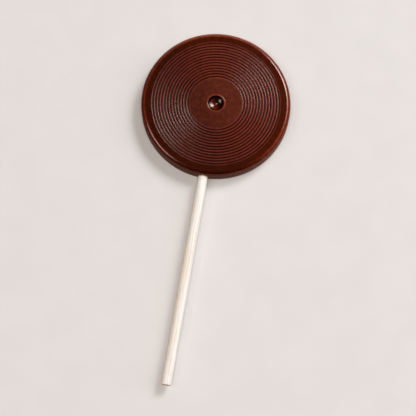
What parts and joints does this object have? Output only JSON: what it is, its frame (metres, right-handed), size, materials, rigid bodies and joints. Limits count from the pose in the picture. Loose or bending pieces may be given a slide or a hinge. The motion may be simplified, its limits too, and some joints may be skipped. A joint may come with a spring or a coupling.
{
  "type": "chocolate lollipop",
  "caption": "Round moulded chocolate disc with fine concentric grooves, a smooth middle with a small dimple and a low rim, cast on a straight wooden stick.",
  "frame": {"origin": "middle of the disc's flat back, on the surface that the lollipop lies on", "axes": "+Z out of the grooved face, -Y along the stick from the disc to its free end, +X to the right of the disc with the stick pointing down"},
  "size_m": [0.068, 0.163, 0.0077],
  "materials": {
    "chocolate": "satin moulded milk chocolate",
    "wood": "unfinished pale birch"
  },
  "bodies": {
    "root": {"chocolate_disc": "chocolate", "stick": "wood"}
  },
  "joints": []
}
